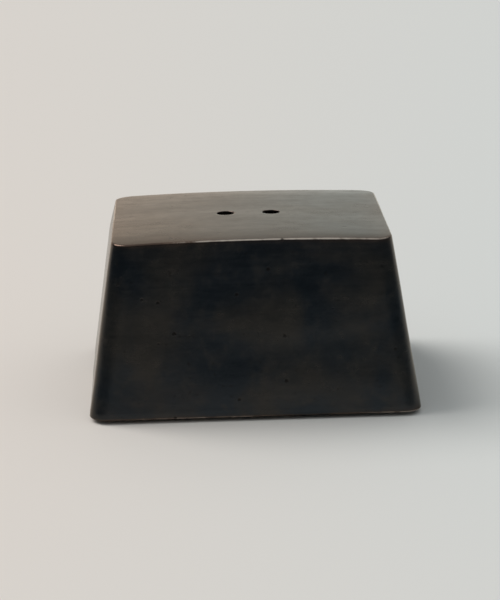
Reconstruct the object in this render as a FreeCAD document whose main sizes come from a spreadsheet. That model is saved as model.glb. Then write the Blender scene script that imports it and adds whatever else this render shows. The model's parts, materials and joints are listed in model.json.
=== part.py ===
import FreeCAD, Part
import math
import os

import Sketcher
from FreeCAD import Vector

# A table-top display plinth: a hollow cast-bronze block with tapered sides, closed from below.
#
# Frame: +Z up, the surface it stands on at Z = 0, the plinth's centre at X = Y = 0, its front
# towards -Y. Every length is in millimetres. The driving dimensions are the cells of the sheet
# called Sizes, and everything else is an expression on them.

SIZES = {
    # the casting
    "top_width": 141.0,
    "top_depth": 112.0,
    "shell_height": 90.0,
    "draft_run": 14.0,        # how far each side spreads from top to rim
    "rim_gap": 2.0,           # from the surface it stands on to the casting's rim
    "wall": 5.0,
    "roof": 6.0,
    "upright_edge": 9.0,      # radius of the four slanting corners
    "inside_edge": 5.0,       # and of the same corners inside
    "top_edge": 0.9,          # radius that the top's outline is eased to
    "rim_edge": 0.8,
    "pad_width": 80.0,        # the thick pad under the roof
    "pad_depth": 62.0,
    "pad_drop": 5.0,
    "pad_corner": 6.0,
    # what fastens the displayed object
    "fixing_hole": 9.0,       # diameter, clearance for M8
    "fixing_spacing": 24.0,
    "spreader_width": 72.0,
    "spreader_depth": 54.0,
    "spreader_thick": 5.0,
    "spreader_corner": 4.0,
    # M5 screws that hold the spreader plate
    "plate_screw_x": 28.0,
    "plate_screw_y": 19.0,
    "plate_tap_depth": 8.0,
    "plate_screw_run": 12.0,
    "cap_head": 8.5,
    "cap_head_height": 5.0,
    "socket": 4.0,
    "socket_depth": 2.5,
    "thread": 4.9,            # outside diameter of an M5 thread
    "tapped": 5.0,
    "clearance": 5.5,
    "washer": 10.0,
    "washer_bore": 5.3,
    "washer_thick": 1.0,
    # the lugs and the base board
    "lug_x": 64.0,
    "lug_y": 50.0,
    "lug_reach": 12.0,        # from a lug's hole to its inner faces
    "lug_height": 10.0,
    "board_thick": 9.0,
    "board_play": 0.5,        # gap round the board, at its top
    "board_corner": 6.0,
    "base_screw_run": 16.0,
    "sunk_head": 9.6,
    "sunk_mouth": 10.4,
    "slot_width": 1.2,
    "slot_depth": 1.2,
    "screw_sink": 0.3,        # how far a sunk head lies inside the board's face
    # the felt that the plinth stands on
    "felt_thick": 3.0,
    "felt_inset": 3.0,
    "felt_corner": 5.0,
    "felt_hole": 14.0,
}

CORNERS = [(1, 1), (-1, 1), (-1, -1), (1, -1)]

# Places that follow from the driving dimensions, as expressions on the sheet.
TOP = "(Sizes.rim_gap + Sizes.shell_height)"
ROOF_UNDERSIDE = "(" + TOP + " - Sizes.roof)"
PAD_FACE = "(" + ROOF_UNDERSIDE + " - Sizes.pad_drop)"
PLATE_FACE = "(" + PAD_FACE + " - Sizes.spreader_thick)"
BOARD_TOP = "(Sizes.felt_thick + Sizes.board_thick)"
DRAFT_ANGLE = "atan(Sizes.draft_run / Sizes.shell_height)"


def spread_at(height):
    """How much wider than its top the casting is at a height, both sides together."""
    return "2 * Sizes.draft_run * (%s - %s) / Sizes.shell_height" % (TOP, height)


def inside_at(top_size, height):
    """The cavity's width or depth at a height, from the top's own width or depth."""
    return "(Sizes.%s + %s - 2 * Sizes.wall)" % (top_size, spread_at(height))


def make_sheet(doc):
    """The driving dimensions, one aliased cell each."""
    sheet = doc.addObject("Spreadsheet::Sheet", "Sizes")
    for row, (alias, value) in enumerate(SIZES.items(), start=1):
        sheet.set("A%d" % row, alias)
        sheet.set("B%d" % row, "%g" % value)
        sheet.setAlias("B%d" % row, alias)
    doc.recompute()
    return sheet


def bind(obj, **expressions):
    """Ties an object's properties to expressions on the sheet."""
    for name, expression in expressions.items():
        obj.setExpression(name, expression)
    return obj


# Sketches

def new_sketch(body, name, height):
    """An empty sketch on the body's XY plane, lifted to a height."""
    sketch = body.newObject("Sketcher::SketchObject", name)
    plane = [f for f in body.Origin.OriginFeatures if f.Role == "XY_Plane"][0]
    sketch.AttachmentSupport = (plane, [""])
    sketch.MapMode = "FlatFace"
    sketch.setExpression("AttachmentOffset.Base.z", height)
    return sketch


def name_constraint(sketch, constraint, name, expression):
    """Adds a dimension to a sketch under a name, and ties it to an expression."""
    index = sketch.addConstraint(constraint)
    sketch.renameConstraint(index, name)
    sketch.setExpression("Constraints." + name, expression)


def draw_rectangle(sketch, width, depth):
    """A rectangle centred on the sketch's origin. The sizes are expressions."""
    half_x, half_y = SIZES["top_width"] / 2, SIZES["top_depth"] / 2
    corners = [(-half_x, -half_y), (half_x, -half_y), (half_x, half_y), (-half_x, half_y)]
    side = []
    for i in range(4):
        start, end = Vector(*corners[i], 0), Vector(*corners[(i + 1) % 4], 0)
        side.append(sketch.addGeometry(Part.LineSegment(start, end)))
    for i in range(4):
        sketch.addConstraint(Sketcher.Constraint("Coincident", side[i], 2, side[(i + 1) % 4], 1))
    for i in (0, 2):
        sketch.addConstraint(Sketcher.Constraint("Horizontal", side[i]))
        sketch.addConstraint(Sketcher.Constraint("Vertical", side[i + 1]))
    sketch.addConstraint(Sketcher.Constraint("Symmetric", side[0], 1, side[2], 1, -1, 1))
    across = Sketcher.Constraint("DistanceX", side[0], 1, side[0], 2, 2 * half_x)
    along = Sketcher.Constraint("DistanceY", side[1], 1, side[1], 2, 2 * half_y)
    name_constraint(sketch, across, "width", width)
    name_constraint(sketch, along, "depth", depth)


def draw_rounded_rectangle(sketch, width, depth, radius):
    """The same with rounded corners."""
    half_x, half_y, r = SIZES["top_width"] / 2, SIZES["top_depth"] / 2, SIZES["upright_edge"]
    in_x, in_y = half_x - r, half_y - r
    lines = [
        ((-in_x, -half_y), (in_x, -half_y)),
        ((half_x, -in_y), (half_x, in_y)),
        ((in_x, half_y), (-in_x, half_y)),
        ((-half_x, in_y), (-half_x, -in_y)),
    ]
    centres = [(in_x, -in_y), (in_x, in_y), (-in_x, in_y), (-in_x, -in_y)]
    quarter = math.pi / 2
    side = []
    arc = []
    for i in range(4):
        start, end = lines[i]
        side.append(sketch.addGeometry(Part.LineSegment(Vector(*start, 0), Vector(*end, 0))))
        circle = Part.Circle(Vector(*centres[i], 0), Vector(0, 0, 1), r)
        arc.append(sketch.addGeometry(Part.ArcOfCircle(circle, (i - 1) * quarter, i * quarter)))
    for i in range(4):
        sketch.addConstraint(Sketcher.Constraint("Tangent", side[i], 2, arc[i], 1))
        sketch.addConstraint(Sketcher.Constraint("Tangent", arc[i], 2, side[(i + 1) % 4], 1))
    for i in (1, 2, 3):
        sketch.addConstraint(Sketcher.Constraint("Equal", arc[0], arc[i]))
    for i in (0, 2):
        sketch.addConstraint(Sketcher.Constraint("Horizontal", side[i]))
        sketch.addConstraint(Sketcher.Constraint("Vertical", side[i + 1]))
    sketch.addConstraint(Sketcher.Constraint("Symmetric", arc[0], 3, arc[2], 3, -1, 1))
    across = Sketcher.Constraint("DistanceX", side[3], 1, side[1], 1, 2 * half_x)
    along = Sketcher.Constraint("DistanceY", side[0], 1, side[2], 1, 2 * half_y)
    name_constraint(sketch, across, "width", width)
    name_constraint(sketch, along, "depth", depth)
    name_constraint(sketch, Sketcher.Constraint("Radius", arc[0], r), "corner", radius)


def draw_circle(sketch, name, sign_x, x, sign_y, y, diameter):
    """A circle at (sign_x * x, sign_y * y). x, y and the diameter are expressions; a None is 0."""
    start = 10.0
    place = Vector(start * sign_x if x else 0, start * sign_y if y else 0, 0)
    circle = sketch.addGeometry(Part.Circle(place, Vector(0, 0, 1), 2.0))
    for kind, sign, expression in (("DistanceX", sign_x, x), ("DistanceY", sign_y, y)):
        ends = (-1, 1, circle, 3) if sign > 0 else (circle, 3, -1, 1)
        if expression:
            constraint = Sketcher.Constraint(kind, *ends, start)
            name_constraint(sketch, constraint, name + kind, expression)
        else:
            sketch.addConstraint(Sketcher.Constraint(kind, -1, 1, circle, 3, 0.0))
    across = Sketcher.Constraint("Diameter", circle, 4.0)
    name_constraint(sketch, across, name + "Across", diameter)


def draw_four_circles(sketch, x, y, diameter):
    """The same circle in each quarter of the sketch."""
    for i, (sign_x, sign_y) in enumerate(CORNERS, start=1):
        draw_circle(sketch, "hole%d" % i, sign_x, x, sign_y, y, diameter)


def draw_fixing_circles(sketch):
    """The pair of clearance holes for the displayed object's bolts, side by side on X."""
    for name, sign in (("right", 1), ("left", -1)):
        draw_circle(sketch, name, sign, "Sizes.fixing_spacing / 2", 1, None, "Sizes.fixing_hole")


# Features

def new_body(doc, label):
    body = doc.addObject("PartDesign::Body", label)
    body.Label = label
    return body


def pad(body, name, sketch, length):
    """Fills upwards from a sketch."""
    feature = body.newObject("PartDesign::Pad", name)
    feature.Profile = sketch
    feature.setExpression("Length", length)
    return feature


def pocket(body, name, sketch, length):
    """Cuts upwards from a sketch."""
    feature = body.newObject("PartDesign::Pocket", name)
    feature.Profile = sketch
    feature.Reversed = True
    feature.setExpression("Length", length)
    return feature


def ease(doc, body, name, low, high, radius):
    """Rounds every edge of the body that runs from one height to another, or lies flat at one."""
    doc.recompute()
    base = body.Tip
    edges = []
    for i, edge in enumerate(base.Shape.Edges, start=1):
        box = edge.BoundBox
        if max(abs(box.ZMin - low), abs(box.ZMax - high)) < 0.01:
            edges.append("Edge%d" % i)
    feature = body.newObject("PartDesign::Fillet", name)
    feature.Base = (base, edges)
    feature.setExpression("Radius", radius)
    return feature


def cylinder(doc, name, diameter, height, bottom):
    """A Part cylinder on the Z axis, standing at a height."""
    shape = doc.addObject("Part::Cylinder", name)
    bind(shape, Radius="%s / 2" % diameter, Height=height)
    shape.setExpression("Placement.Base.z", bottom)
    return shape


def box(doc, name, size, low):
    """A Part box from expressions for its size and its lowest corner."""
    shape = doc.addObject("Part::Box", name)
    bind(shape, Length=size[0], Width=size[1], Height=size[2])
    for axis, expression in zip("xyz", low):
        shape.setExpression("Placement.Base." + axis, expression)
    return shape


def combine(doc, kind, name, *shapes):
    """A Part boolean: Cut and Common take two shapes, MultiFuse any number."""
    result = doc.addObject("Part::" + kind, name)
    if kind == "MultiFuse":
        result.Shapes = list(shapes)
    else:
        result.Base, result.Tool = shapes
    return result


def at_corner(obj, label, sign_x, x, sign_y, y):
    """Names a finished piece and stands it at (sign_x * x, sign_y * y)."""
    obj.Label = label
    obj.setExpression("Placement.Base.x", "%d * %s" % (sign_x, x))
    obj.setExpression("Placement.Base.y", "%d * %s" % (sign_y, y))
    return obj


# The pieces

def taper_hollow(body, make):
    """The hollow from the rim to the underside of the roof, as a pocket or as a solid."""
    outline = new_sketch(body, "HollowOutline", "Sizes.rim_gap")
    width = inside_at("top_width", "Sizes.rim_gap")
    depth = inside_at("top_depth", "Sizes.rim_gap")
    draw_rectangle(outline, width, depth)
    hollow = make(body, "Hollow", outline, "Sizes.shell_height - Sizes.roof")
    hollow.setExpression("TaperAngle", "-" + DRAFT_ANGLE)


def make_shell(doc):
    """The cast shell: tapered sides, a roof with a thick pad under it, and an open bottom."""
    body = new_body(doc, "plinth_shell")
    outline = new_sketch(body, "RimOutline", "Sizes.rim_gap")
    rim_width = "Sizes.top_width + 2 * Sizes.draft_run"
    rim_depth = "Sizes.top_depth + 2 * Sizes.draft_run"
    draw_rectangle(outline, rim_width, rim_depth)
    block = pad(body, "Block", outline, "Sizes.shell_height")
    block.setExpression("TaperAngle", "-" + DRAFT_ANGLE)
    taper_hollow(body, pocket)

    rim = SIZES["rim_gap"]
    top = rim + SIZES["shell_height"]
    ceiling = top - SIZES["roof"]
    ease(doc, body, "UprightEdges", rim, top, "Sizes.upright_edge")
    ease(doc, body, "InsideEdges", rim, ceiling, "Sizes.inside_edge")
    ease(doc, body, "TopEdge", top, top, "Sizes.top_edge")
    ease(doc, body, "RimEdges", rim, rim, "Sizes.rim_edge")

    face = new_sketch(body, "PadOutline", PAD_FACE)
    draw_rounded_rectangle(face, "Sizes.pad_width", "Sizes.pad_depth", "Sizes.pad_corner")
    pad(body, "SeatPad", face, "Sizes.pad_drop")

    taps = new_sketch(body, "TapCircles", PAD_FACE)
    draw_four_circles(taps, "Sizes.plate_screw_x", "Sizes.plate_screw_y", "Sizes.tapped")
    pocket(body, "PlateTaps", taps, "Sizes.plate_tap_depth")

    fixings = new_sketch(body, "FixingCircles", PAD_FACE)
    draw_fixing_circles(fixings)
    pocket(body, "FixingHoles", fixings, "Sizes.pad_drop + Sizes.roof")
    return body


def make_spreader_plate(doc):
    """Steel plate that spreads the load of the displayed object's bolts over the pad."""
    body = new_body(doc, "spreader_plate")
    outline = new_sketch(body, "PlateOutline", PLATE_FACE)
    width, depth = "Sizes.spreader_width", "Sizes.spreader_depth"
    draw_rounded_rectangle(outline, width, depth, "Sizes.spreader_corner")
    draw_four_circles(outline, "Sizes.plate_screw_x", "Sizes.plate_screw_y", "Sizes.clearance")
    draw_fixing_circles(outline)
    pad(body, "Plate", outline, "Sizes.spreader_thick")
    return body


def make_plate_fasteners(doc):
    """A washer and a socket-head M5 screw at each corner of the spreader plate."""
    made = []
    washer_low = "(%s - Sizes.washer_thick)" % PLATE_FACE
    head_low = "(%s - Sizes.cap_head_height)" % washer_low
    across_corners = "Sizes.socket / cos(30) / 2"
    for i, (sign_x, sign_y) in enumerate(CORNERS, start=1):
        place = (sign_x, "Sizes.plate_screw_x", sign_y, "Sizes.plate_screw_y")
        disc = cylinder(doc, "WasherDisc%d" % i, "Sizes.washer", "Sizes.washer_thick", washer_low)
        bore = cylinder(doc, "WasherBore%d" % i, "Sizes.washer_bore", "Sizes.washer_thick", washer_low)
        washer = combine(doc, "Cut", "Washer%d" % i, disc, bore)
        made.append(at_corner(washer, "plate_washer_%d" % i, *place))

        head = cylinder(doc, "CapHead%d" % i, "Sizes.cap_head", "Sizes.cap_head_height", head_low)
        run = "Sizes.cap_head_height + Sizes.plate_screw_run"
        shank = cylinder(doc, "CapShank%d" % i, "Sizes.thread", run, head_low)
        whole = combine(doc, "MultiFuse", "CapBlank%d" % i, head, shank)
        key = doc.addObject("Part::Prism", "CapSocket%d" % i)
        key.Polygon = 6
        bind(key, Circumradius=across_corners, Height="Sizes.socket_depth")
        key.setExpression("Placement.Base.z", head_low)
        screw = combine(doc, "Cut", "CapScrew%d" % i, whole, key)
        made.append(at_corner(screw, "plate_screw_%d" % i, *place))
    return made


def make_cavity_core(doc):
    """A solid of the shell's hollow, which the lugs are trimmed to. It isn't a piece of its own."""
    core = new_body(doc, "cavity_core")
    taper_hollow(core, pad)
    rim = SIZES["rim_gap"]
    ceiling = rim + SIZES["shell_height"] - SIZES["roof"]
    ease(doc, core, "CoreEdges", rim, ceiling, "Sizes.inside_edge")
    return core


def make_corner_lugs(doc, core):
    """Bronze blocks welded into the bottom corners, tapped M5 for the base board's screws."""
    made = []
    for i, (sign_x, sign_y) in enumerate(CORNERS, start=1):
        reach, rise = "Sizes.top_width / 2", "Sizes.lug_height"
        low = []
        for sign, centre in ((sign_x, "Sizes.lug_x"), (sign_y, "Sizes.lug_y")):
            inner = "(%s - Sizes.lug_reach)" % centre
            low.append(inner if sign > 0 else "-%s - %s" % (inner, reach))
        block = box(doc, "LugBlock%d" % i, (reach, reach, rise), (*low, BOARD_TOP))
        trimmed = combine(doc, "Common", "LugTrimmed%d" % i, block, core)
        tap = cylinder(doc, "LugTap%d" % i, "Sizes.tapped", rise, BOARD_TOP)
        at_corner(tap, tap.Name, sign_x, "Sizes.lug_x", sign_y, "Sizes.lug_y")
        lug = combine(doc, "Cut", "Lug%d" % i, trimmed, tap)
        lug.Label = "corner_lug_%d" % i
        made.append(lug)
    return made


def make_base_board(doc):
    """Plywood board that closes the bottom, with a countersunk hole near each corner."""
    body = new_body(doc, "base_board")
    outline = new_sketch(body, "BoardOutline", "Sizes.felt_thick")
    width = inside_at("top_width", BOARD_TOP) + " - 2 * Sizes.board_play"
    depth = inside_at("top_depth", BOARD_TOP) + " - 2 * Sizes.board_play"
    draw_rounded_rectangle(outline, width, depth, "Sizes.board_corner")
    pad(body, "Board", outline, "Sizes.board_thick")
    centres = new_sketch(body, "ScrewCentres", "Sizes.felt_thick")
    draw_four_circles(centres, "Sizes.lug_x", "Sizes.lug_y", "Sizes.clearance")
    doc.recompute()
    holes = body.newObject("PartDesign::Hole", "ScrewHoles")
    holes.Profile = centres
    doc.recompute()
    holes.DepthType = "ThroughAll"
    holes.HoleCutType = "Countersink"
    holes.HoleCutCustomValues = True
    holes.HoleCutCountersinkAngle = 90
    holes.Reversed = True
    bind(holes, Diameter="Sizes.clearance", HoleCutDiameter="Sizes.sunk_mouth")
    return body


def make_base_screws(doc):
    """Slotted countersunk M5 screws, up through the board into the lugs."""
    made = []
    face = "(Sizes.felt_thick + Sizes.screw_sink)"
    for i, (sign_x, sign_y) in enumerate(CORNERS, start=1):
        head = doc.addObject("Part::Cone", "SunkHead%d" % i)
        taper = "(Sizes.sunk_head - Sizes.thread) / 2"
        bind(head, Radius1="Sizes.sunk_head / 2", Radius2="Sizes.thread / 2", Height=taper)
        head.setExpression("Placement.Base.z", face)
        shank = cylinder(doc, "SunkShank%d" % i, "Sizes.thread", "Sizes.base_screw_run", face)
        whole = combine(doc, "MultiFuse", "SunkBlank%d" % i, head, shank)
        size = ("Sizes.sunk_head + 1", "Sizes.slot_width", "Sizes.slot_depth")
        low = ("-(Sizes.sunk_head + 1) / 2", "-Sizes.slot_width / 2", face)
        slot = box(doc, "ScrewSlot%d" % i, size, low)
        screw = combine(doc, "Cut", "SunkScrew%d" % i, whole, slot)
        place = (sign_x, "Sizes.lug_x", sign_y, "Sizes.lug_y")
        made.append(at_corner(screw, "base_screw_%d" % i, *place))
    return made


def make_felt_pad(doc):
    """Felt glued under the board, with a hole round each screw."""
    body = new_body(doc, "felt_pad")
    outline = new_sketch(body, "FeltOutline", "0 mm")
    shrink = " - 2 * (Sizes.board_play + Sizes.felt_inset)"
    width = inside_at("top_width", BOARD_TOP) + shrink
    depth = inside_at("top_depth", BOARD_TOP) + shrink
    draw_rounded_rectangle(outline, width, depth, "Sizes.felt_corner")
    draw_four_circles(outline, "Sizes.lug_x", "Sizes.lug_y", "Sizes.felt_hole")
    pad(body, "Felt", outline, "Sizes.felt_thick")
    return body


def check(doc, pieces):
    """Stops if any feature failed, or a piece isn't one sound solid."""
    for obj in doc.Objects:
        if "Invalid" in obj.State or "Error" in obj.State:
            raise RuntimeError("%s failed: %s" % (obj.Name, obj.State))
    for piece in pieces:
        shape = piece.Shape
        if shape.isNull() or not shape.isValid() or len(shape.Solids) != 1:
            raise RuntimeError("%s isn't one valid solid" % piece.Label)


def export(pieces):
    """Writes each piece to a file of its own, and prints its volume."""
    os.makedirs("parts", exist_ok=True)
    for piece in pieces:
        piece.Shape.exportStep(os.path.join("parts", piece.Label + ".step"))
        print("%-18s %9.1f mm3" % (piece.Label, piece.Shape.Volume))


doc = FreeCAD.newDocument("display_plinth")
make_sheet(doc)
pieces = [make_shell(doc), make_spreader_plate(doc), make_base_board(doc), make_felt_pad(doc)]
pieces += make_plate_fasteners(doc)
pieces += make_corner_lugs(doc, make_cavity_core(doc))
pieces += make_base_screws(doc)
doc.recompute()
check(doc, pieces)
export(pieces)
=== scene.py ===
import json
import math

import bmesh
import bpy
import numpy as np
from mathutils import Matrix, Vector, noise


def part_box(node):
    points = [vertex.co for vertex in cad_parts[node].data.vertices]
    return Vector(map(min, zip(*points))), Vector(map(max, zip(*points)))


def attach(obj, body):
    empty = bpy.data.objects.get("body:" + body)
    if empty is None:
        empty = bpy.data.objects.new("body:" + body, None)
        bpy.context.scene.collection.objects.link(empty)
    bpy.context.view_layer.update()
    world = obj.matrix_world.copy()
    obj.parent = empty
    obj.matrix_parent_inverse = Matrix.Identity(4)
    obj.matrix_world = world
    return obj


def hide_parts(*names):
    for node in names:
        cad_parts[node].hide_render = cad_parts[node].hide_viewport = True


# The looks of a table-top display plinth: a hollow bronze casting with tapered sides, its patina near
# black and waxed, closed by a plywood board and standing on felt. Everything is in metres, in the frame
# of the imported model.

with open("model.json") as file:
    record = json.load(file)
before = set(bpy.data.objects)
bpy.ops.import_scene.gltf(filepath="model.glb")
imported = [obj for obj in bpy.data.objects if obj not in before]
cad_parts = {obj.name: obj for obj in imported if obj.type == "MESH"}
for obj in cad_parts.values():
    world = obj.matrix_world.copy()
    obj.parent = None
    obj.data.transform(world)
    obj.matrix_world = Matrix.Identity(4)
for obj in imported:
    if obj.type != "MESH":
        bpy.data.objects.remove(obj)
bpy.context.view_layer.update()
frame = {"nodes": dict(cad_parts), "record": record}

MM = 0.001
SAME_PLACE = 0.003 * MM           # points nearer than this are one point

# The casting's driving dimensions, as in its CAD.
TOP_HALF = np.array([70.5, 56.0]) * MM
DRAFT_RUN = 14 * MM
UPRIGHT_EDGE = 9 * MM
INSIDE_EDGE = 5 * MM
TOP_EDGE = 0.9 * MM
RIM_EDGE = 0.8 * MM
WALL = 5 * MM
ROOF = 6 * MM
PAD_HALF = np.array([40.0, 31.0]) * MM
PAD_DROP = 5 * MM
PAD_CORNER = 6 * MM

# Sizes of the pieces inside, as in the CAD too.
TAPPED = 2.5 * MM                 # radii from here on
CLEARANCE = 2.75 * MM
THREAD = 2.45 * MM
SUNK_MOUTH = 5.2 * MM
FELT_HOLE = 7 * MM
PLATE_CORNER = 4 * MM
BOARD_CORNER = 6 * MM
FELT_CORNER = 5 * MM
PITCH = 0.8 * MM                  # of an M5 thread
THREAD_DEPTH = 0.42 * MM

# Where the casting stands, from the frame.
shell_low, shell_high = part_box("plinth_shell")
RIM = shell_low.z
TOP = shell_high.z
CEILING = TOP - ROOF
PAD_FACE = CEILING - PAD_DROP
LEAN = math.atan2(DRAFT_RUN, TOP - RIM)

# How the foundry's hand finishing departs from the drawing. The top falls slightly towards its sides,
# and rolls off towards its front and back. The left side isn't quite square: it stands out at the back.
SIDE_FALL = 1.7 * MM
SIDE_POWER = 2
FRONT_FALL = 0.85 * MM
FRONT_POWER = 5
FALL_FADE = 20 * MM               # depth over which the mesh takes that up
BACK_LEFT_OUT = 1.9 * MM
OUT_AT_TOP = 0.2                  # the share of that which is left at the top
WAVES = (                         # the filed waviness: length along X, across it, and height
    (62 * MM, 24 * MM, 0.20 * MM),
    (21 * MM, 10 * MM, 0.04 * MM),
)

# How the patina is rubbed off: fully at the first distance from an edge, not at all at the second, and
# how strongly. Some stretches are rubbed more than others.
TOP_RUB = (0.45 * MM, 0.85 * MM, 1.0)
HOLE_RUB = (0.3 * MM, 0.8 * MM, 0.45)
RIM_RUB = (0.4 * MM, 1.2 * MM, 0.75)
UPRIGHT_RUB = 0.16
STRETCH = 70 * MM
HANDLED_REACH = 9 * MM            # how far hands reach from the top's edge, over the top
HANDLED_DOWN = 3 * MM             # and down the sides
SIDE_UNHANDLED = 0.8              # the share of that which the sides are spared
SKIN_DEPTH = (1.2 * MM, 2.0 * MM)     # the raw casting begins this far inside


# Meshes

def piece(name, vertices, faces, smooth_angle=35):
    """A new mesh object, shaded smooth except across edges sharper than an angle in degrees."""
    mesh = bpy.data.meshes.new(name)
    mesh.from_pydata([tuple(v) for v in vertices], [], [tuple(f) for f in faces])
    mesh.validate()
    obj = bpy.data.objects.new(name, mesh)
    bpy.context.scene.collection.objects.link(obj)
    shade(obj, smooth_angle)
    return obj


def shade(obj, smooth_angle):
    obj.data.polygons.foreach_set("use_smooth", [True] * len(obj.data.polygons))
    obj.data.set_sharp_from_angle(angle=math.radians(smooth_angle))


def vertices_of(obj, what="co"):
    """The places or the normals of a mesh's vertices, as rows."""
    flat = np.empty(3 * len(obj.data.vertices))
    obj.data.vertices.foreach_get(what, flat)
    return flat.reshape(-1, 3)


def set_vertices(obj, points):
    obj.data.vertices.foreach_set("co", points.ravel())
    obj.data.update()


def store(obj, name, values):
    """Keeps a number for each vertex, for the material to read."""
    attribute = obj.data.attributes.new(name, "FLOAT", "POINT")
    attribute.data.foreach_set("value", values.astype(np.float32))


def smoothstep(low, high, value):
    t = np.clip((value - low) / (high - low), 0, 1)
    return t * t * (3 - 2 * t)


def noise_at(points, lengths, shift=0.0):
    """Smooth noise of about -0.7 to 0.7 at each point, with features as long as lengths."""
    moved = points / np.array(lengths) + np.array([shift + 3.1, shift + 7.7, shift + 1.9])
    return np.array([noise.noise(Vector(p)) for p in moved])


def round_corners(u, v, half, radius):
    """Maps points of the square -1..1 onto a rectangle with rounded corners."""
    x, y = u * half[0], v * half[1]
    if radius <= 0:
        return x, y
    past_x = np.maximum(np.abs(x) - (half[0] - radius), 0)
    past_y = np.maximum(np.abs(y) - (half[1] - radius), 0)
    reach = np.hypot(past_x, past_y)
    shrink = np.where(reach > 0, np.maximum(past_x, past_y) / np.maximum(reach, 1e-12), 1)
    x = np.sign(x) * (np.abs(x) - past_x * (1 - shrink))
    y = np.sign(y) * (np.abs(y) - past_y * (1 - shrink))
    return x, y


def block(name, rings, columns, rows, plain_base=False, smooth_angle=35):
    """A closed block of quads through rings of (height, half sizes, corner radius), lowest first.

    Its top and base are grids of quads. A plain base is one face."""
    u, v = np.meshgrid(np.linspace(-1, 1, columns + 1), np.linspace(-1, 1, rows + 1))
    index = np.arange(u.size).reshape(u.shape)
    rim = np.concatenate([index[0, :-1], index[:-1, -1], index[-1, :0:-1], index[:0:-1, 0]])
    vertices = []
    loops = []
    for i, (height, half, radius) in enumerate(rings):
        x, y = round_corners(u.ravel(), v.ravel(), half, radius)
        points = np.column_stack([x, y, np.full(x.size, height)])
        first = sum(len(part) for part in vertices)
        if i == len(rings) - 1 or (i == 0 and not plain_base):
            loops.append(first + rim)
        else:
            points = points[rim]
            loops.append(first + np.arange(len(rim)))
        vertices.append(points)
    corners = (index[:-1, :-1], index[:-1, 1:], index[1:, 1:], index[1:, :-1])
    cells = np.column_stack([corner.ravel() for corner in corners])
    faces = (cells + sum(len(part) for part in vertices[:-1])).tolist()
    faces += [loops[0][::-1].tolist()] if plain_base else cells[:, ::-1].tolist()
    for low, high in zip(loops, loops[1:]):
        faces += np.column_stack([low, np.roll(low, -1), np.roll(high, -1), high]).tolist()
    return piece(name, np.vstack(vertices), faces, smooth_angle)


def leaning_rings(low, high, half, corner, lean=0.0, low_edge=0.0, high_edge=0.0, steps=1, turns=6):
    """Rings for a block whose sides lean in by an angle, with rounded edges. half is its size at the top.

    The rings crowd towards the top."""
    profile = []
    if low_edge:
        inset = low_edge * (1 + math.sin(lean)) / math.cos(lean)
        for angle in np.linspace(-math.pi / 2, lean, turns + 1):
            out = (high - low) * math.tan(lean) - inset + low_edge * math.cos(angle)
            profile.append((low + low_edge * (1 + math.sin(angle)), out))
    else:
        profile.append((low, (high - low) * math.tan(lean)))
    upper = []
    if high_edge:
        inset = high_edge * (1 - math.sin(lean)) / math.cos(lean)
        for angle in np.linspace(lean, math.pi / 2, turns + 1):
            upper.append((high - high_edge * (1 - math.sin(angle)), high_edge * math.cos(angle) - inset))
    else:
        upper.append((high, 0.0))
    start, end = profile[-1][0], upper[0][0]
    for t in np.linspace(1, 0, steps + 1)[1:-1]:
        height = end - (end - start) * t ** 1.5
        profile.append((height, (high - height) * math.tan(lean)))
    rings = []
    for height, out in profile + upper:
        eased = out - (high - height) * math.tan(lean)
        rings.append((height, half + out, corner + eased))
    return rings


def upright_rings(low, high, half, corner, edge, steps, turns):
    """Rings for a block with upright sides, whose lower and upper edges are rounded alike."""
    return leaning_rings(low, high, half, corner, 0.0, edge, edge, steps, turns)


def revolve(name, profile, centre, segments=48, shape=None, ring=False, smooth_angle=35):
    """A closed solid of revolution about a vertical axis, from a profile of (radius, height).

    A plain profile runs from the lowest point up, and is capped. A ring's profile runs round its section,
    outside first. shape may change the radius: it is given the angle, radius and height of all points."""
    radius, height = (np.array(column, float)[:, None] for column in zip(*profile))
    angle = np.linspace(0, 2 * math.pi, segments, endpoint=False)[None, :]
    radius, height, angle = np.broadcast_arrays(radius, height, angle)
    if shape:
        radius = shape(angle, radius, height)
    x = centre[0] + radius * np.cos(angle)
    y = centre[1] + radius * np.sin(angle)
    vertices = np.column_stack([x.ravel(), y.ravel(), height.ravel()])
    index = np.arange(radius.size).reshape(radius.shape)
    if ring:
        pairs = zip(index, np.roll(index, -1, axis=0))
        caps = []
    else:
        pairs = zip(index, index[1:])
        caps = [index[0, ::-1].tolist(), index[-1].tolist()]
    quads = []
    for low, high in pairs:
        quads += np.column_stack([low, np.roll(low, -1), np.roll(high, -1), high]).tolist()
    return piece(name, vertices, quads + caps, smooth_angle)


def tube(name, path, radii, sides=12):
    """A closed tube with a radius at each point of its path."""
    ahead = np.gradient(path, axis=0)
    ahead /= np.linalg.norm(ahead, axis=1)[:, None]
    normal = np.cross(ahead[0], (0.3, 0.5, 0.8))
    vertices = []
    for place, direction, radius in zip(path, ahead, radii):
        normal = normal - direction * (normal @ direction)
        normal /= np.linalg.norm(normal)
        across = np.cross(direction, normal)
        for angle in np.linspace(0, 2 * math.pi, sides, endpoint=False):
            vertices.append(place + radius * (math.cos(angle) * normal + math.sin(angle) * across))
    index = np.arange(len(vertices)).reshape(len(path), sides)
    faces = [index[0, ::-1].tolist(), index[-1].tolist()]
    for low, high in zip(index, index[1:]):
        faces += np.column_stack([low, np.roll(low, -1), np.roll(high, -1), high]).tolist()
    return piece(name, vertices, faces, smooth_angle=60)


def join_close_points(mesh):
    """Merges the points that a cut leaves almost on top of each other."""
    work = bmesh.new()
    work.from_mesh(mesh)
    bmesh.ops.remove_doubles(work, verts=work.verts, dist=SAME_PLACE)
    work.to_mesh(mesh)
    work.free()


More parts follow.
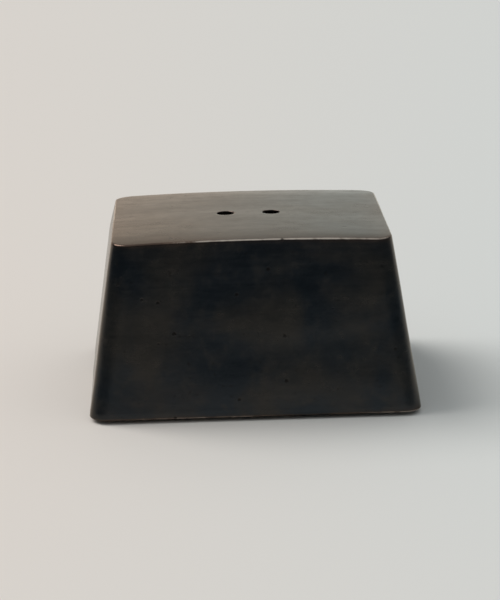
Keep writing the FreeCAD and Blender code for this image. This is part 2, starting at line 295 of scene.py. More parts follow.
def cut(obj, cutters, smooth_angle=35):
    """Takes the cutters out of a closed mesh, and removes them."""
    group = bpy.data.collections.new("cutters")
    bpy.context.scene.collection.children.link(group)
    for cutter in cutters:
        group.objects.link(cutter)
    boolean = obj.modifiers.new("cut", "BOOLEAN")
    boolean.operation = "DIFFERENCE"
    boolean.solver = "EXACT"
    boolean.operand_type = "COLLECTION"
    boolean.collection = group
    bpy.context.view_layer.update()
    evaluated = obj.evaluated_get(bpy.context.evaluated_depsgraph_get())
    made = bpy.data.meshes.new_from_object(evaluated)
    obj.modifiers.clear()
    join_close_points(made)
    obj.data = made
    for cutter in cutters:
        bpy.data.objects.remove(cutter)
    bpy.data.collections.remove(group)
    shade(obj, smooth_angle)
    return obj


def hole_cutter(centre, radius, low, high, lip=0.0, low_lip=0.0):
    """Cuts a hole whose mouths are chamfered by the lips."""
    over = 1 * MM
    profile = []
    if low_lip:
        profile += [(radius + low_lip + over, low - over), (radius, low + low_lip)]
    else:
        profile += [(radius, low - over)]
    if lip:
        profile += [(radius, high - lip), (radius + lip + over, high + over)]
    else:
        profile += [(radius, high + over)]
    return revolve("hole", profile, centre, segments=64)


def centre_of(node):
    low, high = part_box(node)
    return (low + high) / 2


def half_of(node):
    low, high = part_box(node)
    return np.array([high.x - low.x, high.y - low.y]) / 2


# The casting

def fall_at(points):
    """How far the top has fallen below its middle at each point."""
    out = np.clip(np.abs(points[:, :2] / TOP_HALF), 0, 1)
    return SIDE_FALL * out[:, 0] ** SIDE_POWER + FRONT_FALL * out[:, 1] ** FRONT_POWER


def waves_at(points):
    """The filed waviness at each point, outwards."""
    total = np.zeros(len(points))
    for i, (along, across, height) in enumerate(WAVES):
        total += height * noise_at(points, (along, across, across), 5.0 * i)
    return total


def stand_out_at(points):
    """How far the left side stands out at each point: nothing at the front, and most low at the back."""
    half = TOP_HALF + (TOP - points[:, 2])[:, None] * math.tan(LEAN)
    left = np.clip(-points[:, 0] / half[:, 0], 0, 1)
    back = np.clip((points[:, 1] / half[:, 1] + 1) / 2, 0, 1)
    down = smoothstep(0, FALL_FADE, TOP - points[:, 2])
    return BACK_LEFT_OUT * left * back * (OUT_AT_TOP + (1 - OUT_AT_TOP) * down)


def finish_by_hand(obj):
    """Rounds the top off, and leaves the faint waves that filing and chasing leave."""
    points = vertices_of(obj)
    share = 1 - smoothstep(0, FALL_FADE, TOP - points[:, 2])
    fall = share * fall_at(points)
    points[:, 2] -= fall
    points[:, :2] *= 1 + fall[:, None] * math.tan(LEAN) / TOP_HALF      # so the sides stay as drawn
    points += vertices_of(obj, "normal") * waves_at(points)[:, None]
    points[:, 0] -= stand_out_at(points)
    set_vertices(obj, points)


def fixing_holes():
    """Centres and radius of the holes for the displayed object's bolts, from the mount."""
    mount = next(m for m in frame["record"]["mounts"] if m["name"] == "top_fixing_holes")
    reach = mount["dims"]["spacing_x_mm"] * MM / 2
    x, y, _ = mount["pos_m"]
    return [(x - reach, y), (x + reach, y)], mount["dims"]["hole_r_mm"] * MM


def fixing_cutter(centre, radius):
    """Cuts a hole through the roof, with a rounded mouth at the top."""
    lip = 0.5 * MM
    profile = [(radius, PAD_FACE - PAD_DROP)]
    for angle in np.linspace(0, math.radians(60), 6):
        profile.append((radius + lip * (1 - math.cos(angle)), TOP - lip * (1 - math.sin(angle))))
    last_radius, last_height = profile[-1]
    profile.append((last_radius + math.sqrt(3) * MM, last_height + 1 * MM))
    return revolve("fixing", profile, centre, segments=64)


def tap_cutter(centre):
    """Cuts a blind tapped hole into the pad, with the drill's cone at its end."""
    depth = 8 * MM
    cone = 0.8 * MM
    profile = [
        (TAPPED, PAD_FACE - 1 * MM),
        (TAPPED, PAD_FACE + depth - cone),
        (0.5 * MM, PAD_FACE + depth),
    ]
    return revolve("tap", profile, centre, segments=32)


def make_shell():
    """The casting: outside, hollow, pad and holes, as one closed mesh."""
    outside = leaning_rings(RIM, TOP, TOP_HALF, UPRIGHT_EDGE, LEAN, RIM_EDGE, TOP_EDGE, steps=44, turns=8)
    shell = block("bronze_shell", outside, columns=132, rows=106, plain_base=True)
    finish_by_hand(shell)

    inner_half = TOP_HALF + ROOF * math.tan(LEAN) - WALL
    hollow = leaning_rings(RIM, CEILING, inner_half, INSIDE_EDGE, LEAN, high_edge=1.5 * MM, steps=6)
    height, half, radius = hollow[0]
    flare = RIM_EDGE + 1 * MM
    mouth = (height - 1 * MM, half + flare, radius + flare)
    hollow[0] = (height + RIM_EDGE, half - RIM_EDGE * math.tan(LEAN), radius)
    cavity = block("cavity", [mouth] + hollow, columns=36, rows=30, plain_base=True)
    pad_rings = leaning_rings(PAD_FACE, TOP, PAD_HALF, PAD_CORNER, low_edge=0.6 * MM)
    cut(cavity, [block("pad", pad_rings, columns=24, rows=20)])

    centres, hole_radius = fixing_holes()
    cutters = [cavity] + [fixing_cutter(centre, hole_radius) for centre in centres]
    cutters += [tap_cutter(centre_of("plate_screw_%d" % i)) for i in range(1, 5)]
    cut(shell, cutters)
    mark_shell(shell, centres, hole_radius)
    return shell


def rubbed(distance, full, none, strength):
    """How rubbed the patina is at each distance from an edge."""
    return strength * (1 - smoothstep(full, none, distance))


def mark_shell(obj, hole_centres, hole_radius):
    """Stores how rubbed and how handled the patina is at each point, and where the casting is raw."""
    points = vertices_of(obj)
    points[:, 0] += stand_out_at(points)
    points -= vertices_of(obj, "normal") * waves_at(points)[:, None]
    depth = TOP - points[:, 2]
    half = TOP_HALF + depth[:, None] * math.tan(LEAN)
    past = np.maximum(np.abs(points[:, :2]) - (half - UPRIGHT_EDGE), 0)
    inset = np.maximum(UPRIGHT_EDGE - np.hypot(past[:, 0], past[:, 1]), 0)
    flat = np.min(half - np.abs(points[:, :2]), axis=1)
    inset = np.where(np.min(past, axis=1) > 0, inset, flat)
    under = np.maximum(depth - fall_at(points), 0)
    to_edge = np.hypot(np.maximum(inset, 0), under)
    wear = rubbed(to_edge, *TOP_RUB)
    upright = np.clip(np.min(past, axis=1) / (UPRIGHT_EDGE * math.sqrt(0.5)), 0, 1)
    wear = np.maximum(wear, UPRIGHT_RUB * upright ** 3)
    for x, y in hole_centres:
        to_lip = np.hypot(points[:, 0] - x, points[:, 1] - y) - hole_radius
        wear = np.maximum(wear, rubbed(np.maximum(to_lip, under), *HOLE_RUB))
    wear = np.maximum(wear, rubbed(points[:, 2] - RIM, *RIM_RUB))
    rubbing = 0.62 + 1.2 * noise_at(points, (STRETCH,) * 3, 21.0)
    store(obj, "wear", wear * np.clip(rubbing, 0.3, 1))
    on_top = 1 - SIDE_UNHANDLED * smoothstep(0, HANDLED_DOWN, under)
    store(obj, "handled", on_top * np.exp(-to_edge / HANDLED_REACH))
    store(obj, "raw", smoothstep(*SKIN_DEPTH, np.minimum(inset, under)))


# What is inside

def in_mm(profile, base):
    """A profile given in millimetres above a height."""
    return [(radius * MM, base + height * MM) for radius, height in profile]


def shank_profile(start, end):
    """Points close enough together to carry a thread, and a chamfered end."""
    chamfer = 0.5 * MM
    count = round((end - chamfer - start) / (PITCH / 8))
    points = [(THREAD, height) for height in np.linspace(start, end - chamfer, count + 1)]
    return points + [(THREAD - chamfer, end)]


def cut_thread(angle, radius, height, start, end):
    """Lowers the radius along a helix between two heights."""
    turn = (height / PITCH - angle / (2 * math.pi)) % 1
    groove = np.clip(1.2 * (1 - np.abs(2 * turn - 1)) - 0.1, 0, 1)
    share = smoothstep(start, start + PITCH, height) * (1 - smoothstep(end - PITCH, end, height))
    return radius - THREAD_DEPTH * groove * share


def store_across(obj, centre):
    """Keeps how far each point is from a vertical axis, for the tool's or punch's marks."""
    x, y = vertices_of(obj)[:, :2].T
    store(obj, "across", np.hypot(x - centre[0], y - centre[1]))


def make_plate_screw(i):
    """A socket-head cap screw, its knurled head down."""
    node = "plate_screw_%d" % i
    low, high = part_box(node)
    centre = centre_of(node)
    head_height = 5 * MM
    neck = low.z + head_height
    head = [(3.45, 0), (3.9, 0.1), (4.2, 0.45), (4.25, 0.6), (4.25, 0.8), (4.25, 1.5), (4.25, 3.0)]
    head += [(4.25, 4.3), (4.25, 4.6), (4.2, 4.9), (4.05, 5.0), (2.65, 5.0), (2.5, 5.1)]
    profile = in_mm(head, low.z) + shank_profile(neck + 0.3 * MM, high.z)
    teeth = 24

    def shape(angle, radius, height):
        band = smoothstep(low.z + 0.6 * MM, low.z + 1.2 * MM, height)
        band = band * (1 - smoothstep(neck - 0.9 * MM, neck - 0.4 * MM, height))
        knurl = 0.13 * MM * (0.5 - 0.5 * np.cos(teeth * angle))
        return cut_thread(angle, radius - band * knurl, height, neck + 0.8 * MM, high.z)

    screw = revolve("cap_screw_%d" % i, profile, centre, segments=4 * teeth, shape=shape)
    across_corners = 2 * MM / math.cos(math.radians(30))
    socket = [(across_corners + 0.5 * MM, low.z - 0.3 * MM), (across_corners, low.z + 0.2 * MM)]
    socket += [(across_corners, low.z + 2.5 * MM), (0.2 * MM, low.z + 3.2 * MM)]
    cut(screw, [revolve("socket", socket, centre, segments=6)])
    store_across(screw, centre)
    return screw


def make_washer(i):
    """A punched washer: rounded on the side that the punch pushed in, crisp on the other."""
    node = "plate_washer_%d" % i
    low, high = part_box(node)
    centre = centre_of(node)
    outer, bore, thick = 5.0, 2.65, (high.z - low.z) / MM
    section = [(outer - 0.06, 0), (outer, 0.08), (outer, thick - 0.28), (outer - 0.1, thick - 0.1)]
    section += [(outer - 0.3, thick), (bore + 0.2, thick)]
    section += [(bore, thick - 0.15), (bore, 0.06), (bore + 0.06, 0)]
    washer = revolve("washer_%d" % i, in_mm(section, low.z), centre, segments=64, ring=True)
    store_across(washer, centre)
    return washer


def make_base_screw(i):
    """A slotted countersunk screw, its head down. Each slot came to rest at an angle of its own."""
    node = "base_screw_%d" % i
    low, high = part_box(node)
    centre = centre_of(node)
    head = [(4.62, 0), (4.75, 0.06), (2.45, 2.36)]
    thread_start = low.z + 4.5 * MM
    profile = in_mm(head, low.z) + shank_profile(low.z + 2.5 * MM, high.z)

    def shape(angle, radius, height):
        return cut_thread(angle, radius, height, thread_start, high.z)

    screw = revolve("brass_screw_%d" % i, profile, centre, segments=64, shape=shape)
    slot_half = np.array([5.5, 0.6]) * MM
    depth = 1.2 * MM
    slot = block("slot", leaning_rings(low.z - 1 * MM, low.z + depth, slot_half, 0.0), 1, 1)
    turned = Matrix.Rotation(math.radians(63 * i + 20), 4, "Z")
    slot.data.transform(Matrix.Translation((centre.x, centre.y, 0)) @ turned)
    cut(screw, [slot])
    store_across(screw, centre)
    return screw


def make_plate():
    """The spreader plate, its edges and holes deburred."""
    low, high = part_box("spreader_plate")
    burr = 0.4 * MM
    rings = upright_rings(low.z, high.z, half_of("spreader_plate"), PLATE_CORNER, burr, steps=2, turns=3)
    plate = block("steel_plate", rings, columns=35, rows=27)
    centres, radius = fixing_holes()
    cutters = [hole_cutter(centre, radius, low.z, high.z, burr, burr) for centre in centres]
    for i in range(1, 5):
        cutters.append(hole_cutter(centre_of("plate_screw_%d" % i), CLEARANCE, low.z, high.z, burr, burr))
    return cut(plate, cutters)


def make_board():
    """The plywood board, its edges sanded round, with a countersunk hole near each corner."""
    low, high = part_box("base_board")
    sanded = 0.6 * MM
    rings = upright_rings(low.z, high.z, half_of("base_board"), BOARD_CORNER, sanded, steps=4, turns=4)
    board = block("plywood_board", rings, columns=60, rows=50)
    mouth = SUNK_MOUTH - CLEARANCE
    cutters = []
    for i in range(1, 5):
        centre = centre_of("base_screw_%d" % i)
        cutters.append(hole_cutter(centre, CLEARANCE, low.z, high.z, low_lip=mouth))
    return cut(board, cutters)


def make_felt():
    """The felt: thick and soft, its cut edge rounded and never quite straight, its faces a little uneven."""
    low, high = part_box("felt_pad")
    edge = 1.1 * MM
    lip = 0.3 * MM
    rings = upright_rings(low.z, high.z, half_of("felt_pad"), FELT_CORNER, edge, steps=3, turns=5)
    felt = block("felt", rings, columns=110, rows=90, smooth_angle=80)
    cutters = []
    for i in range(1, 5):
        cutters.append(hole_cutter(centre_of("base_screw_%d" % i), FELT_HOLE, low.z, high.z, lip, lip))
    cut(felt, cutters, smooth_angle=80)
    points = vertices_of(felt)
    most = 0.7                        # of the noise, so that nothing stands out past the drawn felt
    lumps = 0.10 * MM * (most + noise_at(points, (7 * MM,) * 3))
    lumps += 0.05 * MM * (most + noise_at(points, (2 * MM,) * 3))
    fluff = 0.12 * MM * (most + noise_at(points, (1.6 * MM,) * 3, 9.0))
    normals = vertices_of(felt, "normal")
    sideways = np.hypot(normals[:, 0], normals[:, 1])
    inwards = np.where(sideways > 0.5, fluff + lumps, lumps)
    set_vertices(felt, points - normals * inwards[:, None])
    return felt


def smooth_path(corners, rounds=4):
    """A polyline with its corners cut off again and again, so that it bends smoothly."""
    path = np.array(corners, float)
    for _ in range(rounds):
        before, after = path[:-1], path[1:]
        cuts = np.empty((2 * len(before), 3))
        cuts[0::2] = 0.75 * before + 0.25 * after
        cuts[1::2] = 0.25 * before + 0.75 * after
        path = np.vstack([path[:1], cuts, path[-1:]])
    return path


def make_weld(i):
    """The bead that holds a lug: up one side of it, along the wall round the corner, and down the other."""
    low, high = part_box("corner_lug_%d" % i)
    side_x = 1 if low.x > 0 else -1
    side_y = 1 if low.y > 0 else -1
    inner_x = min(abs(low.x), abs(high.x))
    inner_y = min(abs(low.y), abs(high.y))

    def wall(height):
        return TOP_HALF + (TOP - height) * math.tan(LEAN) - WALL

    foot = low.z + 1.5 * MM
    top = high.z + 0.3 * MM
    rounding = 0.35 * INSIDE_EDGE
    corners = [
        (inner_x, wall(foot)[1], foot),
        (inner_x, wall(top)[1], top),
        (wall(top)[0] - INSIDE_EDGE, wall(top)[1], top),
        (wall(top)[0] - rounding, wall(top)[1] - rounding, top),
        (wall(top)[0], wall(top)[1] - INSIDE_EDGE, top),
        (wall(top)[0], inner_y, top),
        (wall(foot)[0], inner_y, foot),
    ]
    path = smooth_path(corners) * np.array([side_x, side_y, 1])
    steps = np.linalg.norm(np.diff(path, axis=0), axis=1)
    along = np.concatenate([[0], np.cumsum(steps)])
    even = np.linspace(0, along[-1], round(along[-1] / (0.35 * MM)))
    path = np.column_stack([np.interp(even, along, path[:, axis]) for axis in range(3)])
    ripple = 0.5 + 0.5 * np.cos(2 * math.pi * even / (1.5 * MM))
    radii = 1.35 * MM + 0.16 * MM * ripple + 0.3 * MM * noise_at(path, (5 * MM,) * 3, 2.0 * i)
    ends = np.minimum(even, even[-1] - even)
    radii *= np.sqrt(0.15 + 0.85 * smoothstep(0, 2 * MM, ends))
    return tube("weld_%d" % i, path, radii)


# Materials

def node(tree, kind, inputs=(), **settings):
    """Adds a shader node. Each input is a value, or the socket of another node."""
    made = tree.nodes.new("ShaderNode" + kind)
    for name, value in settings.items():
        setattr(made, name, value)
    for name, value in dict(inputs).items():
        if isinstance(value, bpy.types.NodeSocket):
            tree.links.new(value, made.inputs[name])
        else:
            made.inputs[name].default_value = value
    return made


def start_material(name, **constants):
    """A material with a Principled shader, and its object coordinates."""
    material = bpy.data.materials.new(name)
    material.use_nodes = True
    tree = material.node_tree
    shader = tree.nodes["Principled BSDF"]
    for key, value in constants.items():
        shader.inputs[key.replace("_", " ").title().replace("Ior", "IOR")].default_value = value
    coordinates = node(tree, "TexCoord").outputs["Object"]
    return material, tree, shader, coordinates


def grain(tree, coordinates, size, detail=4.0, roughness=0.55, stretch=(1, 1, 1), distortion=0.0):
    """Fractal noise from 0 to 1, its features about as large as size, and stretched along the axes."""
    scale = [1 / (size * factor) for factor in stretch]
    mapped = node(tree, "Mapping", {"Vector": coordinates, "Scale": scale}).outputs["Vector"]
    inputs = {"Vector": mapped, "Scale": 1.0, "Detail": detail}
    inputs.update({"Roughness": roughness, "Distortion": distortion})
    return node(tree, "TexNoise", inputs).outputs["Fac"]


def between(tree, value, low, high, to_low=0.0, to_high=1.0, curve="SMOOTHSTEP"):
    """Maps a value's range onto another, clamped."""
    inputs = {"Value": value, "From Min": low, "From Max": high, "To Min": to_low, "To Max": to_high}
    return node(tree, "MapRange", inputs, interpolation_type=curve).outputs["Result"]


def maths(tree, operation, a, b=0.0):
    return node(tree, "Math", {0: a, 1: b}, operation=operation).outputs["Value"]


def blend(tree, share, a, b):
    """Mixes two colours, each a triple or a socket."""
    made = node(tree, "Mix", data_type="RGBA")
    for socket, value in ((made.inputs[0], share), (made.inputs[6], a), (made.inputs[7], b)):
        if isinstance(value, bpy.types.NodeSocket):
            tree.links.new(value, socket)
        else:
            socket.default_value = (*value, 1) if isinstance(value, tuple) else value
    return made.outputs[2]


def blend_values(tree, share, a, b):
    """Mixes two numbers, each a number or a socket."""
    return node(tree, "Mix", {0: share, 2: a, 3: b}, data_type="FLOAT").outputs[0]


def attribute(tree, name):
    return node(tree, "Attribute", attribute_name=name).outputs["Fac"]


def relief(tree, height, depth, below=None):
    """A bump of a real depth, on top of another one."""
    inputs = {"Height": height, "Distance": depth, "Strength": 1.0}
    if below:
        inputs["Normal"] = below
    return node(tree, "Bump", inputs).outputs["Normal"]


def connect(tree, shader, **sockets):
    for key, socket in sockets.items():
        tree.links.new(socket, shader.inputs[key.replace("_", " ").title()])


def pits(tree, coordinates, spacing, largest):
    """Casting pits: 1 inside a pit, 0 outside. They are scattered, and each has its own size."""
    inputs = {"Vector": coordinates, "Scale": 1 / spacing, "Randomness": 1.0}
    cells = node(tree, "TexVoronoi", inputs)
    chance = node(tree, "SeparateColor", {"Color": cells.outputs["Color"]}).outputs["Red"]
    size = between(tree, chance, 0.55, 1.0, 0.0, largest / spacing, "LINEAR")
    rim = maths(tree, "SUBTRACT", size, cells.outputs["Distance"])
    return between(tree, rim, 0.0, 0.25 * largest / spacing)


def patina_material():
    """Near-black patina under wax, thinner where it is handled and bare along the edges. Raw inside."""
    tint = (1.0, 0.935, 0.86, 1.0)
    wax = {"coat_weight": 0.15, "coat_roughness": 0.12, "coat_ior": 1.45}
    blue_black, brown_black = (0.024, 0.029, 0.034), (0.046, 0.0415, 0.037)
    mottled = (0.062, 0.054, 0.046)
    speck_black, pit_black = (0.016, 0.014, 0.013), (0.012, 0.010, 0.009)
    handled_brown, rubbed_brown = (0.098, 0.054, 0.036), (0.125, 0.080, 0.056)
    bare_metal = (0.50, 0.44, 0.385)
    material, tree, shader, at = start_material("bronze_patina", metallic=1.0, specular_tint=tint, **wax)
    cloud = grain(tree, at, 34 * MM, detail=4, roughness=0.5, distortion=0.5)
    mottle = grain(tree, at, 7 * MM, detail=5, roughness=0.6)
    speck = grain(tree, at, 2.4 * MM, detail=3)
    colour = blend(tree, between(tree, cloud, 0.35, 0.7), blue_black, brown_black)
    colour = blend(tree, between(tree, mottle, 0.5, 0.75, 0, 0.4), colour, mottled)
    colour = blend(tree, between(tree, speck, 0.64, 0.74, 0, 0.65), colour, speck_black)

    handled = maths(tree, "MULTIPLY", attribute(tree, "handled"), between(tree, cloud, 0.3, 0.7, 0.4, 0.65))
    colour = blend(tree, handled, colour, handled_brown)
    wear = attribute(tree, "wear")
    rub = maths(tree, "MULTIPLY", wear, between(tree, mottle, 0.3, 0.6, 0.62, 1.05))
    bare = between(tree, rub, 0.30, 0.95)
    colour = blend(tree, between(tree, rub, 0.05, 0.5, 0, 0.7), colour, rubbed_brown)
    colour = blend(tree, bare, colour, bare_metal)
    holes = pits(tree, at, 8 * MM, 1.3 * MM)
    colour = blend(tree, maths(tree, "MULTIPLY", holes, 0.8), colour, pit_black)

    raw = attribute(tree, "raw")
    sand = grain(tree, at, 0.8 * MM, detail=5, roughness=0.6)
    skin = blend(tree, between(tree, mottle, 0.35, 0.7), (0.30, 0.20, 0.125), (0.16, 0.105, 0.070))
    colour = blend(tree, raw, colour, skin)

    wiped = grain(tree, at, 2.2 * MM, detail=3, stretch=(14, 2, 1))
    roughness = between(tree, mottle, 0.3, 0.75, 0.15, 0.22)
    roughness = maths(tree, "ADD", roughness, between(tree, cloud, 0.3, 0.75, 0.0, 0.05))
    roughness = maths(tree, "ADD", roughness, between(tree, wiped, 0.35, 0.7, 0.0, 0.05))
    roughness = blend_values(tree, bare, roughness, 0.34)
    roughness = blend_values(tree, raw, roughness, 0.55)
    bump = relief(tree, grain(tree, at, 6 * MM, detail=2), 0.03 * MM)
    bump = relief(tree, grain(tree, at, 1.0 * MM, detail=2), 0.0025 * MM, bump)
    bump = relief(tree, maths(tree, "MULTIPLY", holes, -1.0), 0.2 * MM, bump)
    bump = relief(tree, maths(tree, "MULTIPLY", sand, raw), 0.25 * MM, bump)
    connect(tree, shader, base_color=colour, roughness=roughness, normal=bump)
    return material


def raw_bronze_material():
    """Sawn bronze, with straw and blue heat marks and a dark film from the welding."""
    material, tree, shader, at = start_material("bronze_raw", metallic=1.0)
    mottle = grain(tree, at, 5 * MM, detail=4)
    saw = grain(tree, at, 0.35 * MM, detail=2, stretch=(12, 12, 1))
    colour = blend(tree, between(tree, mottle, 0.3, 0.7), (0.46, 0.31, 0.18), (0.36, 0.235, 0.13))
    heat = grain(tree, at, 12 * MM, detail=3, distortion=0.6)
    colour = blend(tree, between(tree, heat, 0.50, 0.62, 0, 0.8), colour, (0.30, 0.155, 0.075))
    colour = blend(tree, between(tree, heat, 0.60, 0.72, 0, 0.8), colour, (0.115, 0.105, 0.125))
    roughness = between(tree, saw, 0.3, 0.7, 0.34, 0.52)
    bump = relief(tree, saw, 0.04 * MM)
    connect(tree, shader, base_color=colour, roughness=roughness, normal=bump)
    return material


def plate_material():
    """Hot-rolled steel: blue-grey mill scale with rusty freckles and light scratches."""
    material, tree, shader, at = start_material("plate_steel", metallic=1.0)
    scale = grain(tree, at, 9 * MM, detail=6, roughness=0.65, distortion=0.8)
    freckle = grain(tree, at, 1.6 * MM, detail=4)
    scratch = grain(tree, at, 0.25 * MM, detail=1, stretch=(60, 1.2, 1))
    colour = blend(tree, between(tree, scale, 0.35, 0.65), (0.090, 0.097, 0.112), (0.175, 0.172, 0.170))
    colour = blend(tree, between(tree, freckle, 0.62, 0.74, 0, 0.7), colour, (0.17, 0.085, 0.045))
    colour = blend(tree, between(tree, scratch, 0.70, 0.80, 0, 0.6), colour, (0.42, 0.42, 0.43))
    roughness = between(tree, scale, 0.3, 0.7, 0.38, 0.58)
    bump = relief(tree, scale, 0.04 * MM)
    bump = relief(tree, scratch, 0.01 * MM, bump)
    connect(tree, shader, base_color=colour, roughness=roughness, normal=bump)
    return material


def turning_marks(tree, spacing):
    """Fine rings about a screw's or washer's axis, as a tool or a punch leaves them."""
    inputs = {"W": attribute(tree, "across"), "Scale": 1 / spacing, "Detail": 2.0}
    return node(tree, "TexNoise", inputs, noise_dimensions="1D").outputs["Fac"]


def turned_material(name, dark, light, patch, roughness, spacing):
    """A turned or punched metal whose colour drifts between two, with rings about its axis."""
    material, tree, shader, at = start_material(name, metallic=1.0)
    drift = grain(tree, at, patch, detail=4, roughness=0.6)
    marks = turning_marks(tree, spacing)
    colour = blend(tree, between(tree, drift, 0.3, 0.7), dark, light)
    low, high = roughness
    gloss = between(tree, drift, 0.3, 0.7, low, high)
    gloss = maths(tree, "ADD", gloss, between(tree, marks, 0.3, 0.7, 0, 0.08))
    bump = relief(tree, marks, 0.012 * MM)
    bump = relief(tree, drift, 0.01 * MM, bump)
    connect(tree, shader, base_color=colour, roughness=gloss, normal=bump)
    return material


def plywood_material():
    """Oiled birch plywood: a rotary-cut face, and seven plies at the edge with dark glue between them."""
    plies = 7
    low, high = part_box("base_board")
    ply = (high.z - low.z) / plies
    material, tree, shader, at = start_material("birch_plywood", specular_ior_level=0.35)
    figure = grain(tree, at, 5 * MM, detail=3, stretch=(9, 1, 1), distortion=1.6)
    fibre = grain(tree, at, 0.45 * MM, detail=3, stretch=(28, 1, 1))
    pore = grain(tree, at, 0.22 * MM, detail=1, stretch=(9, 1, 1))
    face = blend(tree, between(tree, figure, 0.35, 0.65), (0.60, 0.44, 0.275), (0.71, 0.56, 0.38))
    face = blend(tree, between(tree, fibre, 0.35, 0.7, 0, 0.5), face, (0.52, 0.37, 0.22))
    face = blend(tree, between(tree, pore, 0.66, 0.74, 0, 0.6), face, (0.33, 0.21, 0.11))

    height = node(tree, "SeparateXYZ", {"Vector": at}).outputs["Z"]
    wander = between(tree, grain(tree, at, 22 * MM, detail=2), 0.0, 1.0, -0.12 * ply, 0.12 * ply, "LINEAR")
    layer = maths(tree, "DIVIDE", maths(tree, "SUBTRACT", maths(tree, "ADD", height, wander), low.z), ply)
    glue = maths(tree, "PINGPONG", layer, 0.5)
    end_grain = between(tree, maths(tree, "PINGPONG", layer, 1.0), 0.45, 0.55)
    edge = blend(tree, end_grain, (0.62, 0.46, 0.29), (0.37, 0.24, 0.135))
    fuzz = grain(tree, at, 0.3 * MM, detail=2)
    edge = blend(tree, between(tree, fuzz, 0.4, 0.7, 0, 0.5), edge, (0.30, 0.19, 0.10))
    edge = blend(tree, between(tree, glue, 0.0, 0.07, 0.8, 0.0), edge, (0.13, 0.075, 0.04))

    facing = node(tree, "SeparateXYZ", {"Vector": node(tree, "TexCoord").outputs["Normal"]}).outputs["Z"]
    level = between(tree, maths(tree, "ABSOLUTE", facing), 0.80, 0.95)
    colour = blend(tree, level, edge, face)
    roughness = between(tree, fibre, 0.3, 0.7, 0.44, 0.60)
    bump = relief(tree, fibre, 0.03 * MM)
    bump = relief(tree, pore, 0.03 * MM, bump)
    connect(tree, shader, base_color=colour, roughness=roughness, normal=bump)
    return material


def felt_material():
    """Dense black wool felt: tangled fibres, a few of them paler."""
    soft = {"roughness": 0.95, "specular_ior_level": 0.2, "sheen_weight": 0.5, "sheen_roughness": 0.45}
    material, tree, shader, at = start_material("black_felt", **soft)
    patch = grain(tree, at, 6 * MM, detail=4)
    strands = [
        grain(tree, at, 0.16 * MM, detail=3, stretch=stretch, distortion=2.5)
        for stretch in ((7, 1, 1), (1, 7, 1), (1, 1, 7))
    ]
    tangle = maths(tree, "MAXIMUM", maths(tree, "MAXIMUM", strands[0], strands[1]), strands[2])
    colour = blend(tree, between(tree, patch, 0.3, 0.7), (0.014, 0.014, 0.016), (0.026, 0.026, 0.029))
    colour = blend(tree, between(tree, tangle, 0.55, 0.80, 0, 0.6), colour, (0.055, 0.055, 0.060))
    bump = relief(tree, tangle, 0.16 * MM)
    bump = relief(tree, patch, 0.25 * MM, bump)
    connect(tree, shader, base_color=colour, normal=bump)
    return material


# Studio

# The paper that the plinth stands on: its colour at the left and at the right, a painted tint of warm light
# at the left and cool light at the right over the pale paper, and how bright the lights make it, so that the
# world can show the same paper beyond the floor's edge.
PAPER_AND_PAINTED_LIGHT = ((0.738, 0.682, 0.638), (0.655, 0.675, 0.667))
PAINTED_LIGHT_SPREAD = 0.35
PAPER_LIT = 0.936


def make_floor(radius=8.0, fade=3.0):
    """A pale floor, with a painted tint of warm light at the left and cool light at the right, that fades
    out into the backdrop.
    """
    rings = 48
    around = 96
    vertices = [(0.0, 0.0, 0.0)]
    for i in range(1, rings + 1):
        reach = radius * (i / rings) ** 2
        for j in range(around):
            angle = 2 * math.pi * j / around
            vertices.append((reach * math.cos(angle), reach * math.sin(angle), 0.0))
    faces = [(0, 1 + j, 1 + (j + 1) % around) for j in range(around)]
    for i in range(rings - 1):
        first = 1 + i * around
        for j in range(around):
            k = (j + 1) % around
            faces.append((first + j, first + around + j, first + around + k, first + k))
    floor = piece("floor", vertices, faces)
    material, tree, shader, at = start_material("floor_paper", roughness=1.0, specular_ior_level=0.0)
    away = node(tree, "VectorMath", {0: at}, operation="LENGTH").outputs["Value"]
    softened = maths(tree, "ADD", away, 0.4)      # so that the two colours don't meet at a point
    # The floor's colour from left to right is a painted tint: warm light at the left, cool light at the
    # right.
    side = maths(tree, "DIVIDE", node(tree, "SeparateXYZ", {"Vector": at}).outputs["X"], softened)
    side = between(tree, side, -PAINTED_LIGHT_SPREAD, PAINTED_LIGHT_SPREAD)
    connect(tree, shader, base_color=blend(tree, side, *PAPER_AND_PAINTED_LIGHT))
    clear = node(tree, "BsdfTransparent").outputs["BSDF"]
    inputs = {0: between(tree, away, fade, radius), 1: shader.outputs["BSDF"], 2: clear}
    mixed = node(tree, "MixShader", inputs).outputs["Shader"]
    tree.links.new(mixed, tree.nodes["Material Output"].inputs["Surface"])
    floor.data.materials.append(material)


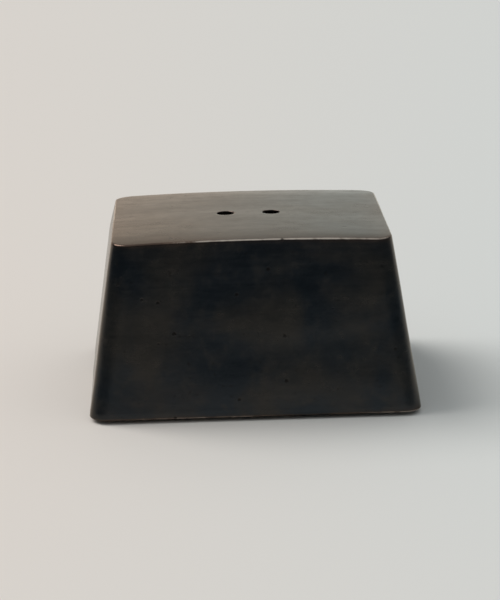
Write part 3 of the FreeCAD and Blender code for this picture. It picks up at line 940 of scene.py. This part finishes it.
def make_world():
    """A bright wall behind, warm at the left and cool at the right, in a dim room. The camera sees paper
    there, with the floor's painted tint of warm light at the left and cool light at the right.
    """
    world = bpy.data.worlds.new("studio")
    bpy.context.scene.world = world
    world.use_nodes = True
    tree = world.node_tree
    axes = node(tree, "SeparateXYZ", {"Vector": node(tree, "TexCoord").outputs["Generated"]})
    x, y, z = (axes.outputs[name] for name in "XYZ")
    behind = between(tree, y, 0.45, 0.85)
    brightness = between(tree, z, 0.24, 0.44, 0.70, 0.20)
    wall = maths(tree, "MULTIPLY", behind, brightness)
    warm_wall, cool_wall = (0.99, 0.84, 0.70), (0.81, 0.85, 0.815)
    wall_colour = blend(tree, between(tree, x, -0.05, 0.10), warm_wall, cool_wall)
    overhead = between(tree, z, 0.25, 0.75, 0.0, 0.44)
    low_lamp, high_lamp = (1.0, 0.86, 0.77), (1.0, 0.99, 0.97)
    overhead_colour = blend(tree, between(tree, z, 0.40, 0.85), low_lamp, high_lamp)
    room = node(tree, "Background", {"Color": (0.80, 1.03, 1.16, 1.0), "Strength": 0.135})
    glow = node(tree, "Background", {"Color": wall_colour, "Strength": wall})
    lamp = node(tree, "Background", {"Color": overhead_colour, "Strength": overhead})
    lit = node(tree, "AddShader", {0: room.outputs[0], 1: glow.outputs[0]}).outputs[0]
    lit = node(tree, "AddShader", {0: lit, 1: lamp.outputs[0]}).outputs[0]
    # What the camera sees: the paper's colour with its painted tint of warm light at the left and cool light
    # at the right.
    paper_and_painted_light = blend(tree, between(tree, x, -PAINTED_LIGHT_SPREAD, PAINTED_LIGHT_SPREAD), *PAPER_AND_PAINTED_LIGHT)
    paper = node(tree, "Background", {"Color": paper_and_painted_light, "Strength": PAPER_LIT}).outputs[0]
    seen = node(tree, "LightPath").outputs["Is Camera Ray"]
    mixed = node(tree, "MixShader", {0: seen, 1: lit, 2: paper}).outputs[0]
    tree.links.new(mixed, tree.nodes["World Output"].inputs["Surface"])


def make_sun():
    """The broad soft light from the upper left."""
    data = bpy.data.lights.new("sun", "SUN")
    data.energy = 2.0
    data.angle = math.radians(42)
    data.color = (1.0, 0.975, 0.945)
    light = bpy.data.objects.new("sun", data)
    towards = Vector((-0.60, 0.25, 0.76))
    light.rotation_euler = towards.to_track_quat("Z", "Y").to_euler()
    bpy.context.scene.collection.objects.link(light)


def make_camera():
    """The photographer's place: a little left of centre, about a metre away and above the top."""
    place = Vector((-0.0315, -1.0437, 0.335))
    target = Vector((0.0, 0.0, 0.044))
    roll = 0.0207                     # in radians
    data = bpy.data.cameras.new("camera")
    data.lens = 122
    data.sensor_width = 36
    camera = bpy.data.objects.new("camera", data)
    aim = (target - place).to_track_quat("-Z", "Y").to_matrix() @ Matrix.Rotation(-roll, 3, "Z")
    camera.matrix_world = Matrix.Translation(place) @ aim.to_4x4()
    bpy.context.scene.collection.objects.link(camera)
    bpy.context.scene.camera = camera


# Putting it together

def dress(obj, slot, *nodes):
    """Gives a finished piece its material, hangs it under the root, and hides the CAD nodes that it stands
    for.
    """
    obj.data.materials.clear()
    obj.data.materials.append(finishes[slot])
    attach(obj, "root")
    if nodes:
        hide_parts(*nodes)
    return obj


def ease_lug(name):
    """A CAD lug keeps its mesh: it gets its sawn finish, and its edges are drawn over a file."""
    lug = frame["nodes"][name]
    weld = lug.modifiers.new("join", "WELD")
    weld.merge_threshold = 0.01 * MM
    bevel = lug.modifiers.new("file", "BEVEL")
    bevel.width = 0.4 * MM
    bevel.segments = 2
    bevel.limit_method = "ANGLE"
    bevel.angle_limit = math.radians(40)
    lug.data.materials.clear()
    lug.data.materials.append(finishes["bronze_raw"])


finishes = {
    "bronze_patina": patina_material(),
    "bronze_raw": raw_bronze_material(),
    "plate_steel": plate_material(),
    "birch_plywood": plywood_material(),
    "black_felt": felt_material(),
}
for name, *look in (              # two colours, the size of their patches, roughness, the marks' spacing
    ("zinc_steel", (0.52, 0.55, 0.60), (0.66, 0.67, 0.66), 2 * MM, (0.20, 0.32), 0.25 * MM),
    ("black_screw_steel", (0.030, 0.030, 0.033), (0.055, 0.053, 0.054), 2 * MM, (0.30, 0.42), 0.2 * MM),
    ("screw_brass", (0.70, 0.50, 0.22), (0.60, 0.40, 0.17), 4 * MM, (0.18, 0.30), 0.16 * MM),
):
    finishes[name] = turned_material(name, *look)

dress(make_shell(), "bronze_patina", "plinth_shell")
dress(make_plate(), "plate_steel", "spreader_plate")
dress(make_board(), "birch_plywood", "base_board")
felt = dress(make_felt(), "black_felt", "felt_pad")
for i in range(1, 5):
    dress(make_washer(i), "zinc_steel", "plate_washer_%d" % i)
    dress(make_plate_screw(i), "black_screw_steel", "plate_screw_%d" % i)
    dress(make_base_screw(i), "screw_brass", "base_screw_%d" % i)
    dress(make_weld(i), "bronze_raw")
    ease_lug("corner_lug_%d" % i)

make_floor()
make_world()
make_sun()
make_camera()
bpy.context.scene.view_settings.view_transform = "Standard"
